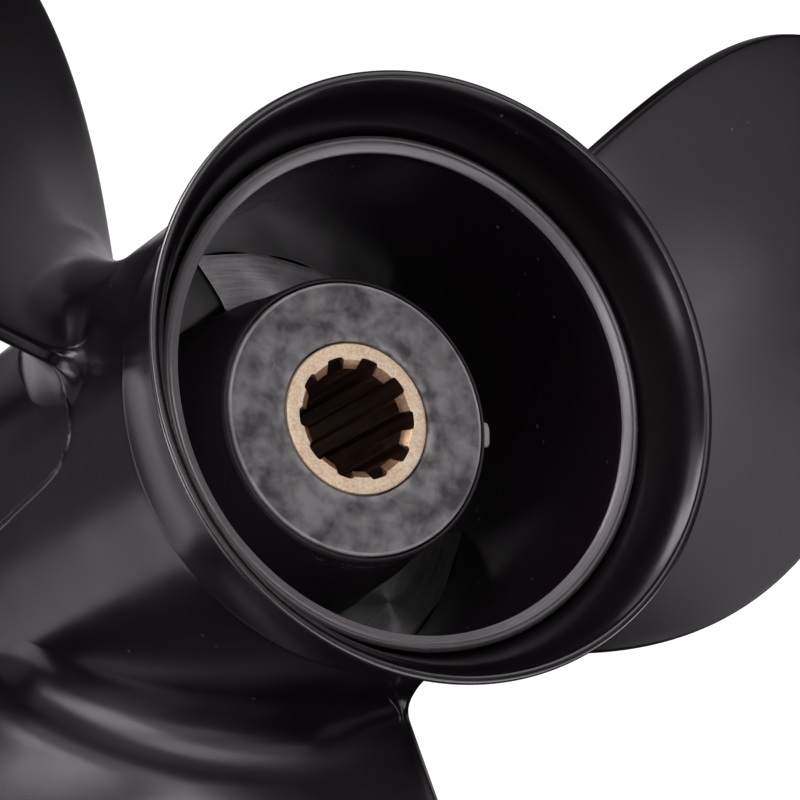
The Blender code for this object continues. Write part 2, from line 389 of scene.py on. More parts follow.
def web_face(name, painted_light_gain, painted_light_ramp=0.0):
    """Turned face of the webs: fine concentric tool marks under a thin coat. The
    cast fillets beside the tube were not reached by the tool, and stay black, so
    the turned patch has rounded corners there."""
    n = Nodes(name)
    marks = n.noise(n.polar(1500.0, 3.0, 300.0), 1.0, 4.0, 0.75)
    broad = n.noise(n.polar(260.0, 2.0, 60.0), 1.0, 2.0, 0.5)
    cloud = n.noise(n.coord, 160.0, 3.0, 0.6)
    # painted light: the gain makes lighter and darker copies of the same turned face
    col = n.mix(n.span(marks, 0.38, 0.62, 0.0, 1.0), (0.085 * painted_light_gain,) * 3, (0.150 * painted_light_gain,) * 3)
    col = n.mix(n.span(cloud, 0.4, 0.65, 0.0, 0.45), col, (0.21 * painted_light_gain,) * 3)
    rad = n.radius()
    sep = n.add("ShaderNodeSeparateXYZ")
    n.link(n.coord, sep.inputs[0])
    third = TAU / 3.0
    turn = n.math("ARCTAN2", sep.outputs[1], sep.outputs[0])
    turn = n.math("ADD", turn, 2.0 * third - math.radians(WEB_START))
    turn = n.math("MODULO", turn, third)
    corner = 0.0030

    def shortfall(d):
        return n.math("MAXIMUM", n.math("SUBTRACT", corner, d), 0.0)

    width = math.radians(WEB_END - WEB_START)
    first = n.math("MULTIPLY", turn, rad)
    lean = n.span(rad, TUBE_OUT_R * MM, BORE_R * MM, math.radians(WEB_LEAN), 0.0)
    last = n.math("MULTIPLY", n.math("SUBTRACT", n.math("SUBTRACT", width, lean), turn), rad)
    flank = shortfall(n.math("ADD", n.math("MINIMUM", first, last), 0.0006))
    tube = shortfall(n.math("SUBTRACT", rad, (TUBE_OUT_R + 0.5) * MM))
    away = n.math("SQRT", n.math("ADD", n.math("MULTIPLY", flank, flank), n.math("MULTIPLY", tube, tube)))
    turned = n.span(away, corner - 0.0002, corner + 0.0001, 1.0, 0.0)
    # painted highlight: the colour brightens towards the far flank, standing in for its sheen
    painted_sheen = n.span(turn, 0.15 * width, 0.95 * width, 1.0 - painted_light_ramp, 1.0 + painted_light_ramp)
    col = n.mix(1.0, col, painted_sheen, "MULTIPLY")
    col = n.mix(turned, (0.0050, 0.0034, 0.0048), col)
    r = n.span(n.math("ADD", n.math("MULTIPLY", marks, 0.7), n.math("MULTIPLY", broad, 0.3)), 0.35, 0.65, 0.32, 0.46)
    nrm = n.bump(marks, 0.35, 0.00006)
    nrm = n.bump(broad, 0.25, 0.0002, nrm)
    n.set(Base_Color=col, Roughness=r, Normal=nrm, Metallic=n.math("MULTIPLY", turned, 0.8))
    n.around(0.85)
    return n.mat


def rubber():
    """Moulded rubber with cloudy flow marks, and pale bands of painted highlight
    on its rounded outer rim and beside the sleeve."""
    n = Nodes("bush_rubber")
    warp = n.noise(n.coord, 90.0, 3.0, 0.6)
    cloud = n.noise(n.coord, 165.0, 3.0, 0.5, 0.6)
    blob = n.noise(n.coord, 400.0, 2.0, 0.45, 0.2)
    fine = n.noise(n.coord, 2600.0, 2.0, 0.5)
    f = n.math("ADD", n.math("MULTIPLY", cloud, 0.62), n.math("MULTIPLY", blob, 0.38))
    col = n.mix(n.span(f, 0.38, 0.62, 0.0, 1.0), (0.040, 0.040, 0.040), (0.205, 0.203, 0.203))
    rad = n.radius()
    # painted highlights: pale bands on the outer rim and beside the sleeve
    rim = n.math("MULTIPLY", n.span(rad, 0.0231, 0.0234, 0.0, 1.0), n.span(warp, 0.40, 0.60, 0.3, 1.0))
    inner_edge_highlight = n.math("MULTIPLY", n.span(rad, 0.0139, 0.0150, 1.0, 0.0), n.span(blob, 0.40, 0.60, 0.1, 0.6))
    col = n.mix(n.math("MAXIMUM", rim, inner_edge_highlight), col, (0.38, 0.375, 0.375))
    r = n.span(n.math("ADD", n.math("MULTIPLY", warp, 0.5), n.math("MULTIPLY", blob, 0.5)), 0.3, 0.7, 0.42, 0.64)
    nrm = n.bump(cloud, 0.45, 0.0006)
    nrm = n.bump(blob, 0.35, 0.0003, nrm)
    nrm = n.bump(fine, 0.15, 0.00004, nrm)
    n.set(Base_Color=col, Roughness=r, Normal=nrm)
    return n.mat


def bronze(name, light, dark, rough, grain=1.0, along=False, metal=0.85):
    n = Nodes(name)
    if along:
        vec = n.scaled(1.0, 1.0, 0.03)
        g = n.noise(vec, 1400.0, 3.0, 0.6)
    else:
        g = n.noise(n.coord, 2100.0, 3.0, 0.7)
    patch = n.noise(n.coord, 260.0, 3.0, 0.6)
    pits = n.voronoi(n.coord, 1400.0)
    col = n.mix(n.span(g, 0.36, 0.66, 0.0, 1.0), dark, light)
    col = n.mix(n.span(patch, 0.45, 0.7, 0.0, 0.5), col, tuple(min(1.0, c * 1.25 + 0.02) for c in light))
    pit = n.math("MULTIPLY", n.span(pits, 0.08, 0.18, 1.0, 0.0), n.span(patch, 0.45, 0.58, 0.0, 1.0))
    col = n.mix(n.math("MULTIPLY", pit, 0.7), col, tuple(c * 0.3 for c in dark))
    r = n.span(n.math("ADD", n.math("MULTIPLY", g, 0.5), n.math("MULTIPLY", patch, 0.5)), 0.35, 0.65, rough[0], rough[1])
    nrm = n.bump(g, 0.5 * grain, 0.00010)
    nrm = n.bump(pit, 0.4 * grain, 0.00008, nrm)
    n.set(Base_Color=col, Roughness=r, Normal=nrm, Metallic=metal)
    return n.mat


PAINT = paint("black_paint")
PAINT_BORE = paint("black_paint_bored", dark=(0.0056, 0.0030, 0.0053), light=(0.0078, 0.0044, 0.0074),
                   rough=(0.20, 0.28), turned=0.0, wave=0.05, specks=0.95, gloss=0.14, dusty=0.07)
PAINT_RING = paint("black_paint_ring", rough=(0.17, 0.24), wave=0.06)
# painted highlight: the rim's copy of the black paint is mid grey, and painted shade darkens it outward
PAINT_RIM = paint("black_paint_rim", dark=(0.100, 0.095, 0.100), light=(0.165, 0.158, 0.165),
                  rough=(0.20, 0.30), turned=0.2, wave=0.2, gloss=0.6, painted_light_ramp=(41.6, 43.4))
PAINT_LIP = paint("black_paint_lip", dark=(0.006, 0.005, 0.006), light=(0.014, 0.012, 0.014),
                  rough=(0.20, 0.28), wave=0.15, gloss=1.0)
# painted fill light: this copy of the black paint is several times lighter than the rest, standing in for light that
# hardly reaches the tube
PAINT_TUBE = paint("black_paint_tube", dark=(0.024, 0.019, 0.024), light=(0.040, 0.034, 0.039), rough=(0.42, 0.55),
                   gloss=0.16, flash=True)
# painted highlight: the nib's pale grey stands in for a glint on the end of the tube
NIB_GLINT_PAINT = paint("moulding_nib_painted_glint", dark=(0.27, 0.26, 0.26), light=(0.40, 0.39, 0.39), rough=(0.35, 0.5), specks=0.0)
# painted highlight: the first web's face is a lit copy, three times lighter, with a painted sheen towards its far
# flank
WEBS = (web_face("turned_web_paint_painted_light", 3.0, 0.40), web_face("turned_web_paint", 1.0), web_face("turned_web_paint_3", 1.0))
RUBBER = rubber()
BRONZE = bronze("sintered_bronze", (1.0, 0.82, 0.58), (0.74, 0.54, 0.35), (0.30, 0.46), metal=0.40)
COPPER = bronze("broached_bronze_chamfer", (0.66, 0.42, 0.26), (0.42, 0.25, 0.14), (0.28, 0.42), 0.6, metal=0.7)
BRONZE_BORE = bronze("broached_bronze_bore", (0.19, 0.10, 0.055), (0.070, 0.037, 0.020), (0.42, 0.6), 0.7, along=True)


# ----------------------------------------------------------------------- barrel
def barrel_warp(r, z, a):
    if r > 44.0 and 2.0 < z < SEAM_Z - 1.0:
        k = smooth_step(z, 2.0, 10.0) * (1.0 - smooth_step(z, SEAM_Z - 8.0, SEAM_Z - 1.0))
        r += 0.035 * k * fbm(2.2 * math.cos(a), 2.2 * math.sin(a), z * 0.05)
    elif RIM_Z - 3.0 < z and r > BORE_R + 0.1:
        r += 0.03 * fbm(6.0 * math.cos(a), 6.0 * math.sin(a), z * 0.4, 4)
        z += 0.03 * fbm(7.0 * math.cos(a) + 4.0, 7.0 * math.sin(a), r * 0.6, 4)
    return r, z


def build_barrel():
    corners = [
        (BORE_R, 1.2, 0.5), (BORE_R + 0.9, 0.0, 0.3), (BARREL_R - 0.2, 0.0, 0.8), (BARREL_R, 6.0, 0.0),
        (BARREL_R, SEAM_Z - 0.3, 0.30), (SPIGOT_R, SEAM_Z - 0.3, 0.1),
        (SPIGOT_R, RIM_Z - 0.5, 0.45), (SPIGOT_R - 0.75, RIM_Z - 0.02, 0.3),
        (SPIGOT_R - 1.05, RIM_Z - 0.30, 0.3), (SPIGOT_R - 1.45, RIM_Z - 0.05, 0.5),
        (BORE_R + 0.14, RIM_Z - 0.95, 0.7), (BORE_R, RIM_Z - 2.6, 0.6),
    ]
    prof = densify(rounded(corners, 5), 2.0)

    def zone(r, z):
        if r < BORE_R + 0.3 and z < RIM_Z - 1.2:
            return 1
        if z > RIM_Z - 1.3 and r < SPIGOT_R + 0.1:
            return 2
        return 0

    return lathe("barrel_casting", prof, 384, [PAINT, PAINT_BORE, PAINT_RIM], "propeller", warp=barrel_warp,
                 zone=zone, sharp=38.0, slot="black_paint", replaces=["hub_barrel"])


def build_ring():
    skirt_in = SPIGOT_R + 0.3
    prof = rounded([(skirt_in, SEAM_Z, 0.0), (BARREL_R + 0.3, SEAM_Z, 0.34)][:2] + [(BARREL_R + 0.34, SEAM_Z + 2.0, 0.0)], 4)
    prof = prof[:-1]
    n = 34
    top = HUB_LENGTH - 0.7
    for i in range(1, n + 1):
        t = i / n
        z = SEAM_Z + (top - SEAM_Z) * t
        r = BARREL_R + 0.3 + (LIP_R - BARREL_R - 0.3) * (0.36 * t + 0.64 * t ** 2.1)
        if z > SEAM_Z + 0.5:
            prof.append((r, z))
    # the lip: a small outer corner, and an inner one that rolls over into the flare
    for c, a0, a1 in (((LIP_R - 0.6, HUB_LENGTH - 0.6), -5.0, 90.0), ((LIP_R - 0.85, HUB_LENGTH - 1.1), 90.0, 138.0)):
        rad = HUB_LENGTH - c[1]
        for k in range(9):
            w = math.radians(a0 + (a1 - a0) * k / 8)
            prof.append((c[0] + rad * math.cos(w), c[1] + rad * math.sin(w)))
    z0, r0 = RIM_Z - 1.6, skirt_in
    z1, r1 = HUB_LENGTH - 0.40, LIP_R - 1.71
    for i in range(1, n + 1):
        t = 1.0 - i / n
        prof.append((r0 + (r1 - r0) * (0.78 * t + 0.22 * t ** 6.0), z0 + (z1 - z0) * t))
    prof = densify(prof, 1.6)

    def warp(r, z, a):
        if z > HUB_LENGTH - 1.6:
            z += 0.02 * fbm(9.0 * math.cos(a), 9.0 * math.sin(a), r * 0.3, 4)
        return r, z

    def zone(r, z):
        return 1 if z > HUB_LENGTH - 0.5 and r > LIP_R - 1.3 else 0

    return lathe("diffuser_flare", prof, 420, [PAINT_RING, PAINT_LIP], "propeller", warp=warp, zone=zone, sharp=40.0,
                 slot="black_ring", replaces=["diffuser_ring"])


# ------------------------------------------------------------------- inner hub
def build_tube():
    corners = [
        (STOP_R, TUBE_FRONT_Z, 0.5), (TUBE_OUT_R, TUBE_FRONT_Z, 1.2), (TUBE_OUT_R, SHELF_Z + 2.5, 3.0),
        (27.2, 76.0, 8.0), (26.1, 82.0, 4.0), (25.55, 87.5, 2.0), (25.0, 92.5, 1.0),
        (TUBE_AFT_R - 0.1, TUBE_AFT_Z - 0.6, 0.3), (TUBE_AFT_R - 0.45, TUBE_AFT_Z, 0.2), (TUBE_BORE_R, TUBE_AFT_Z, 0.12),
        (TUBE_BORE_R, STOP_Z, 0.0), (STOP_R, STOP_Z, 0.4),
    ]
    prof = densify(rounded(corners, 5), 1.4)

    def warp(r, z, a):
        if r > 24.6 and z > SHELF_Z:
            r += 0.05 * fbm(3.0 * math.cos(a), 3.0 * math.sin(a), z * 0.07)
            # ragged flash left by the moulding of the rubber
            d = z - (92.6 + 0.5 * fbm(9.0 * math.cos(a), 9.0 * math.sin(a), 3.0))
            ridge = max(0.0, fbm(16.0 * math.cos(a), 16.0 * math.sin(a), 8.0, 4) + 0.1)
            r += 0.22 * ridge * math.exp(-(d / 0.6) ** 2)
        return r, z

    return lathe("inner_hub_tube", prof, 300, [PAINT_TUBE], "propeller", warp=warp, sharp=38.0,
                 slot="black_paint", replaces=["inner_hub"])


def grow(r, base, rad):
    """How far a fillet of radius rad stands out at height r - base."""
    d = r - base
    if d >= rad:
        return 0.0
    if d <= 0.0:
        return rad
    return rad - math.sqrt(max(0.0, rad * rad - (rad - d) ** 2))


def build_web(k):
    """A web between the tube and the barrel, with cast fillets where it meets
    them and rounded corners on its turned aft face."""
    lo, hi = TUBE_OUT_R - 0.25, BORE_R + 0.25
    big, small = 3.2, 0.5                            # fillets at the tube and at the barrel
    radii = [lo + (big + 0.4) * (1.0 - math.cos(0.5 * math.pi * i / 10)) for i in range(11)]
    for i in range(1, 7):
        radii.append(lo + big + 0.4 + (hi - lo - big - small - 0.8) * i / 7)
    radii += [hi - (small + 0.4) * (1.0 - math.cos(0.5 * math.pi * i / 8)) for i in range(8, -1, -1)]
    a0, a1 = WEB_START + 120.0 * k, WEB_END + 120.0 * k
    corners = [(a0, WEB_FRONT_Z, 1.5), (a1, WEB_FRONT_Z, 1.5), (a1, SHELF_Z, 0.35), (a0, SHELF_Z, 0.5)]
    mean = 0.5 * (lo + hi)
    count = (3, 26, 3, 26)
    verts, faces, fm = [], [], []
    for r in radii:
        g = grow(r, lo - 0.02, big) + grow(-r, -(hi + 0.02), small)
        drop = 0.05 * smooth_step(r, hi - 0.45, hi - 0.30)       # the tool's run-out beside the bore
        lean = math.radians(WEB_LEAN) * max(0.0, (hi - r) / (hi - lo)) * mean
        flat = [(math.radians(a) * mean, z - (drop if z == SHELF_Z else 0.0), rad) for a, z, rad in corners]
        # flanks step outward by the fillet; the turned face stays flat
        flat[0] = (flat[0][0] - g, flat[0][1] - g, flat[0][2] + g)
        flat[1] = (flat[1][0] + g - lean, flat[1][1] - g, flat[1][2] + g)
        flat[2] = (flat[2][0] + g - lean, flat[2][1], flat[2][2])
        flat[3] = (flat[3][0] - g, flat[3][1], flat[3][2])
        for s, z in rounded_like(flat, count):
            a = s / mean
            verts.append((r * math.cos(a), r * math.sin(a), z))
    n = len(verts) // len(radii)
    for i in range(len(radii) - 1):
        for j in range(n):
            l = (j + 1) % n
            faces.append((i * n + j, i * n + l, (i + 1) * n + l, (i + 1) * n + j))
            z = 0.5 * (verts[i * n + j][2] + verts[i * n + l][2])
            fm.append(1 if z > SHELF_Z - 0.12 else 0)
    faces.append(tuple(range(n)))
    faces.append(tuple((len(radii) - 1) * n + j for j in range(n)))
    fm += [0, 0]
    return make("web_casting_%d" % (k + 1), verts, faces, [PAINT_BORE, WEBS[k]], "propeller", face_mats=fm, sharp=42.0,
                slot="machined_web", replaces=["web_%d" % (k + 1)])


def rounded_like(flat, count, n=4):
    """The rounded outline of four corners with the same number of points each time."""
    pts = rounded(flat, n)
    out = []
    per = n + 1
    for i in range(4):
        arc = pts[i * per:(i + 1) * per]
        nxt = pts[((i + 1) % 4) * per]
        out += arc
        a = arc[-1]
        for j in range(1, count[i]):
            f = j / count[i]
            out.append((a[0] + (nxt[0] - a[0]) * f, a[1] + (nxt[1] - a[1]) * f))
    return out


# ------------------------------------------------------------------------- bush
def build_bush():
    corners = [(SLEEVE_R + 0.32, BUSH_FRONT_Z, 0.6), (BUSH_R - 0.3, BUSH_FRONT_Z, 1.6), (BUSH_R - 0.05, BUSH_AFT_Z - 0.9, 0.0),
               (BUSH_R - 0.05, BUSH_AFT_Z, 0.35), (SLEEVE_R + 0.32, BUSH_AFT_Z, 0.45)]
    prof = densify(rounded(corners, 6), 0.55)
    prof = [p for i, p in enumerate(prof) if p[1] > BUSH_AFT_Z - 1.6 or p[1] < BUSH_FRONT_Z + 2.2 or i % 6 == 0]

    def warp(r, z, a):
        if z > BUSH_AFT_Z - 0.6:
            x, y = r * math.cos(a), r * math.sin(a)
            k = smooth_step(r, SLEEVE_R + 0.4, SLEEVE_R + 1.6) * (1.0 - smooth_step(r, BUSH_R - 1.4, BUSH_R - 0.3))
            z += k * (0.11 * fbm(x * 0.22, y * 0.22, 1.0, 3) + 0.035 * fbm(x * 0.8, y * 0.8, 5.0, 2) - 0.10)
        if r > BUSH_R - 0.4 and z > BUSH_AFT_Z - 1.0:
            r += 0.04 * fbm(14.0 * math.cos(a), 14.0 * math.sin(a), 2.0, 4)
        return r, z

    return lathe("rubber_bush_moulding", prof, 300, [RUBBER], "bush", warp=warp, sharp=40.0,
                 slot="bush_rubber", replaces=["rubber_bush"])


# ----------------------------------------------------------------------- sleeve
def spline_outline():
    """Inner outline of the sleeve: (radius, angle) points, tooth by tooth, with small corner radii."""
    pts = []
    step = TAU / TEETH
    half = SLOT_WIDTH / 2.0
    for k in range(TEETH):
        mid = math.radians(SPLINE_PHASE) + k * step
        local = []                                   # (along the slot's width, radius)
        for f in (-0.62, -0.31, 0.0, 0.31, 0.62):
            local.append((half * f * 1.0, SPLINE_MAJOR_R))
        left = [(-half, SPLINE_MINOR_R + 0.12), (-half, SPLINE_MINOR_R + 0.7), (-half, SPLINE_MAJOR_R - 0.62),
                (-half * 0.95, SPLINE_MAJOR_R - 0.25), (-half * 0.82, SPLINE_MAJOR_R - 0.06)]
        right = [(-x, r) for x, r in left[::-1]]
        for x, r in left + local + right:
            pts.append((r, mid + math.asin(max(-1.0, min(1.0, x / r)))))
        a_minor = math.asin(half / SPLINE_MINOR_R)
        land = step - 2.0 * a_minor
        for f in (0.06, 0.25, 0.5, 0.75, 0.94):
            pts.append((SPLINE_MINOR_R, mid + a_minor + f * land))
    return pts


def build_sleeve():
    outline = spline_outline()
    n = len(outline)
    ch = LEAD_IN_R - SPLINE_MINOR_R
    rings = []                                       # (rule, z, material of the strip that follows)
    aft, fore = SLEEVE_AFT_Z, SLEEVE_FRONT_Z

    def plain(r0):
        return lambda r: r0

    rings.append((plain(SLEEVE_R - 0.4), fore, 0))
    rings.append((plain(SLEEVE_R), fore + 0.4, 0))
    for i in range(1, 12):
        rings.append((plain(SLEEVE_R), fore + 0.4 + (aft - fore - 0.8) * i / 12, 0))
    rings.append((plain(SLEEVE_R), aft - 0.34, 0))
    for w in (22.0, 45.0, 68.0):
        a = math.radians(w)
        rings.append((plain(SLEEVE_R - 0.34 + 0.34 * math.cos(a)), aft - 0.34 + 0.34 * math.sin(a), 0))
    rings.append((plain(SLEEVE_R - 0.34), aft, 0))
    for f in (0.25, 0.5, 0.75):
        rings.append((lambda r, f=f: (SLEEVE_R - 0.34) * (1 - f) + (max(r, LEAD_IN_R) + 0.08) * f, aft, 0))
    rings.append((lambda r: max(r, LEAD_IN_R) + 0.08, aft, 0))
    rings.append((lambda r: max(r, LEAD_IN_R - 0.02), aft - 0.07, 1))
    rings.append((lambda r: max(r, 0.5 * (LEAD_IN_R + SPLINE_MINOR_R)), aft - 0.55 * ch, 1))
    rings.append((lambda r: max(r, SPLINE_MINOR_R + 0.04), aft - ch, 2))
    for i in range(0, 13):
        rings.append((lambda r: r, aft - ch - 0.15 - (aft - fore - 2 * ch - 0.3) * i / 12, 2))
    rings.append((lambda r: max(r, LEAD_IN_R), fore, 0))
    verts, faces, fm = [], [], []
    for rule, z, _ in rings:
        for r, a in outline:
            q = rule(r)
            zz = z
            if z == aft and q < SLEEVE_R - 0.2:
                zz += 0.012 * fbm(q * math.cos(a) * 1.2, q * math.sin(a) * 1.2, 2.0, 3)
            verts.append((q * math.cos(a), q * math.sin(a), zz))
    for i in range(len(rings)):
        k = (i + 1) % len(rings)
        for j in range(n):
            l = (j + 1) % n
            faces.append((i * n + j, i * n + l, k * n + l, k * n + j))
            mi = rings[i][2]
            if mi == 1 and outline[j][0] > LEAD_IN_R and outline[l][0] > LEAD_IN_R:
                mi = 2
            fm.append(mi)
    return make("bronze_sleeve", verts, faces, [BRONZE, COPPER, BRONZE_BORE], "sleeve", face_mats=fm, sharp=32.0,
                slot="sleeve_bronze", replaces=["splined_sleeve"])


# ----------------------------------------------------------------------- blades
def edge_angle(coef, u):
    return TIP_ANGLE + sum(c * u ** (i + 1) for i, c in enumerate(coef))


FOOT_R = BARREL_R - 0.03


def section(r, sides, cap):
    """One blade section on the cylinder of radius r, as two lists of (angle, z):
    the aft face and the forward face, both from leading to trailing edge."""
    rr = min(max(r, ROOT_R), TIP_R - 0.004)
    h = (rr - ROOT_R) / (TIP_R - ROOT_R)
    u = math.sqrt(1.0 - h)
    te, le = edge_angle(TRAILING, u), edge_angle(LEADING, u)
    beta = math.atan(PITCH / (TAU * rr))
    along = (math.cos(beta), math.sin(beta))
    press = (-math.sin(beta), math.cos(beta))
    thick = ROOT_THICK + (TIP_THICK - ROOT_THICK) * h ** 0.75
    to_tip = (TIP_R - rr) / (0.5 * TIP_THICK)
    if to_tip < 1.0:
        thick *= math.sqrt(1.0 - (1.0 - to_tip) ** 2)
    chord = math.radians(te - le) * rr / math.cos(beta)
    base = (math.radians(le) * rr, BLADE_Z + PITCH * le / 360.0 + RAKE * (rr - ROOT_R))
    g_e = grow(r, FOOT_R, FILLET_EDGE)
    out = []
    for side, g_m in ((1.0, grow(r, FOOT_R, FILLET_PRESSURE)), (-1.0, grow(r, FOOT_R, FILLET_SUCTION))):
        pts = []
        for end, edge in ((0, EDGE_THICK_LE), (1, EDGE_THICK_TE)):
            e = min(edge, 0.8 * thick)
            way = -1.0 if end == 0 else 1.0
            # trailing edge: a flat strip with small corners; leading edge: round
            rc = 0.5 * e if end == 0 else 0.5 * e * (0.34 + 0.66 * smooth_step(g_e, 0.0, 2.5))
            half = []
            m = cap if end == 0 else cap - 1
            for k in range(m):
                w = math.radians(90.0 * k / m)
                half.append((chord * end + way * rc * math.cos(w),
                             -0.16 * e + side * (0.5 * e - rc + rc * math.sin(w)),
                             way * math.cos(w), side * math.sin(w), g_e))
            if end == 1:
                half.insert(0, (chord * end + way * rc, -0.16 * e + side * (0.5 * e - rc) * 0.35, way, 0.0, g_e))
            if end == 0:
                half[0] = (half[0][0], half[0][1] + side * 0.004, half[0][2], half[0][3], half[0][4])
                pts += half
                for k in range(sides):
                    s = 0.5 - 0.5 * math.cos(math.pi * k / (sides - 1))
                    ed = EDGE_THICK_LE + (EDGE_THICK_TE - EDGE_THICK_LE) * s
                    ed = min(ed, 0.8 * thick)
                    t = ed + (thick - ed) * (4.0 * s * (1.0 - s)) ** 0.6
                    off = 0.34 * t if side > 0 else -0.66 * t
                    w = smooth_step(min(s, 1.0 - s) / 0.2)
                    pts.append((chord * s, off, 0.0, side, g_m * w + g_e * (1.0 - w)))
            else:
                pts += half[::-1]
        face = []
        for x, y, nx, ny, g in pts:
            x += nx * g
            y += ny * g
            face.append(((base[0] + along[0] * x + press[0] * y) / rr,
                         base[1] + along[1] * x + press[1] * y))
        out.append(face)
    return out


def build_blade(k, sides=56, cap=6):
    radii = [FOOT_R - 0.7]
    steps = 18
    for i in range(steps + 1):
        radii.append(FOOT_R + FILLET_PRESSURE * (1.0 - math.cos(0.5 * math.pi * i / steps)))
    r0 = radii[-1]
    steps = 52
    for i in range(1, steps):
        v = i / steps
        radii.append(r0 + (TIP_R - 1.4 - r0) * (1.0 - (1.0 - v) ** 1.5))
    for w in (0.0, 15.0, 30.0, 45.0, 58.0, 70.0, 80.0, 87.0):
        radii.append(TIP_R - 0.01 - 1.3 * (1.0 - math.sin(math.radians(w))))
    turn = math.radians(BLADE_A - 120.0 * k)
    verts, faces, fm = [], [], []
    for r in radii:
        aft, fore = section(r, sides, cap)
        for p, z in aft + fore[::-1]:
            verts.append((r * math.cos(p + turn), r * math.sin(p + turn), z))
    n = len(aft)
    m = 2 * n
    for i in range(len(radii) - 1):
        for j in range(m):
            l = (j + 1) % m
            faces.append((i * m + j, i * m + l, (i + 1) * m + l, (i + 1) * m + j))
    for base in (0, (len(radii) - 1) * m):           # foot inside the wall, and the tip
        for j in range(n - 1):
            faces.append((base + j, base + j + 1, base + m - 2 - j, base + m - 1 - j))
    return make("blade_casting_%d" % (k + 1), verts, faces, [PAINT], "propeller", sharp=30.0,
                slot="black_paint", replaces=["blade_%d" % (k + 1)])


# ------------------------------------------------------------- parting-line flash
def build_flash(k):
    """The thin ragged ridge that the mould's joint leaves on the barrel, from one
    blade's trailing root round to the next blade's leading root."""
    path = [(163.5, 55.5), (166.5, 62.0), (171.0, 71.5), (178.0, 77.5), (184.5, 78.3), (189.5, 74.0), (191.8, 66.5),
            (193.6, 52.5), (195.0, 42.5), (195.8, 34.0)]
    path = [(a - 120.0 * k, z) for a, z in path]
    pts = []
    m = len(path)
    for i in range(m - 1):                           # a smooth curve through the points
        p0, p1, p2, p3 = path[max(i - 1, 0)], path[i], path[i + 1], path[min(i + 2, m - 1)]
        for j in range(14):
            t = j / 14
            q = []
            for c in (0, 1):
                q.append(0.5 * (2 * p1[c] + (p2[c] - p0[c]) * t + (2 * p0[c] - 5 * p1[c] + 4 * p2[c] - p3[c]) * t * t
                                + (3 * p1[c] - p0[c] - 3 * p2[c] + p3[c]) * t ** 3))
            pts.append(q)
    pts.append(list(path[-1]))
    verts, faces = [], []
    total = len(pts)
    shape = ((-0.9, -0.35), (-0.62, 0.02), (-0.26, 0.14), (-0.07, 0.42), (0.07, 0.42), (0.26, 0.14), (0.62, 0.02), (0.9, -0.35))
    for i, (a, z) in enumerate(pts):
        a0, z0 = pts[max(i - 1, 0)]
        a1, z1 = pts[min(i + 1, total - 1)]
        tx, tz = math.radians(a1 - a0) * BARREL_R, z1 - z0
        d = math.hypot(tx, tz)
        nx, nz = -tz / d, tx / d
        f = i / (total - 1)
        tall = smooth_step(f, 0.0, 0.08) * (1.0 - 0.8 * smooth_step(f, 0.50, 0.72)) * (1.0 - smooth_step(f, 0.9, 1.0))
        tall *= 0.75 + 0.45 * fbm(i * 0.31, 4.0 * k, 2.0, 3)
        wob = 0.12 * fbm(i * 0.23, 7.0, 3.0 * k, 3)
        for w, hgt in shape:
            s = w + wob
            r = BARREL_R + (hgt * max(0.05, tall) if hgt > 0 else hgt)
            aa = math.radians(a) + nx * s / BARREL_R
            verts.append((r * math.cos(aa), r * math.sin(aa), z + nz * s))
    n = len(shape)
    for i in range(total - 1):
        for j in range(n):
            l = (j + 1) % n
            faces.append((i * n + j, i * n + l, (i + 1) * n + l, (i + 1) * n + j))
    faces.append(tuple(range(n)))
    faces.append(tuple((total - 1) * n + j for j in range(n)))
    return make("mould_flash_%d" % (k + 1), verts, faces, [PAINT], "propeller", sharp=50.0, slot="black_paint")


def build_nib():
    """A small moulding nib that stands on the tube beside the rubber; its pale grey is a painted highlight."""
    verts, faces = [], []
    a_mid, z_mid = math.radians(1.5), 94.2
    ring = 20
    levels = ((24.3, 1.0, 1.0), (25.2, 1.0, 1.0), (25.75, 0.9, 0.85), (25.98, 0.7, 0.6))
    for r, sx, sz in levels:
        for j in range(ring):
            w = TAU * j / ring
            cx, cz = math.cos(w), math.sin(w)
            x = 2.3 * sx * math.copysign(abs(cx) ** 0.6, cx)
            z = 0.75 * sz * math.copysign(abs(cz) ** 0.6, cz)
            r2 = r + 0.06 * fbm(x, z, r, 2)
            a = a_mid + x / 25.0
            verts.append((r2 * math.cos(a), r2 * math.sin(a), z_mid + z))
    for i in range(len(levels) - 1):
        for j in range(ring):
            l = (j + 1) % ring
            faces.append((i * ring + j, i * ring + l, (i + 1) * ring + l, (i + 1) * ring + j))
    faces.append(tuple(range(ring)))
    faces.append(tuple((len(levels) - 1) * ring + j for j in range(ring)))
    return make("moulding_nib_painted_glint", verts, faces, [NIB_GLINT_PAINT], "propeller", sharp=40.0, slot="black_paint")


build_barrel()
build_ring()
build_tube()
build_bush()
build_sleeve()
build_nib()
for index in range(3):
    build_web(index)
    build_blade(index)
    build_flash(index)


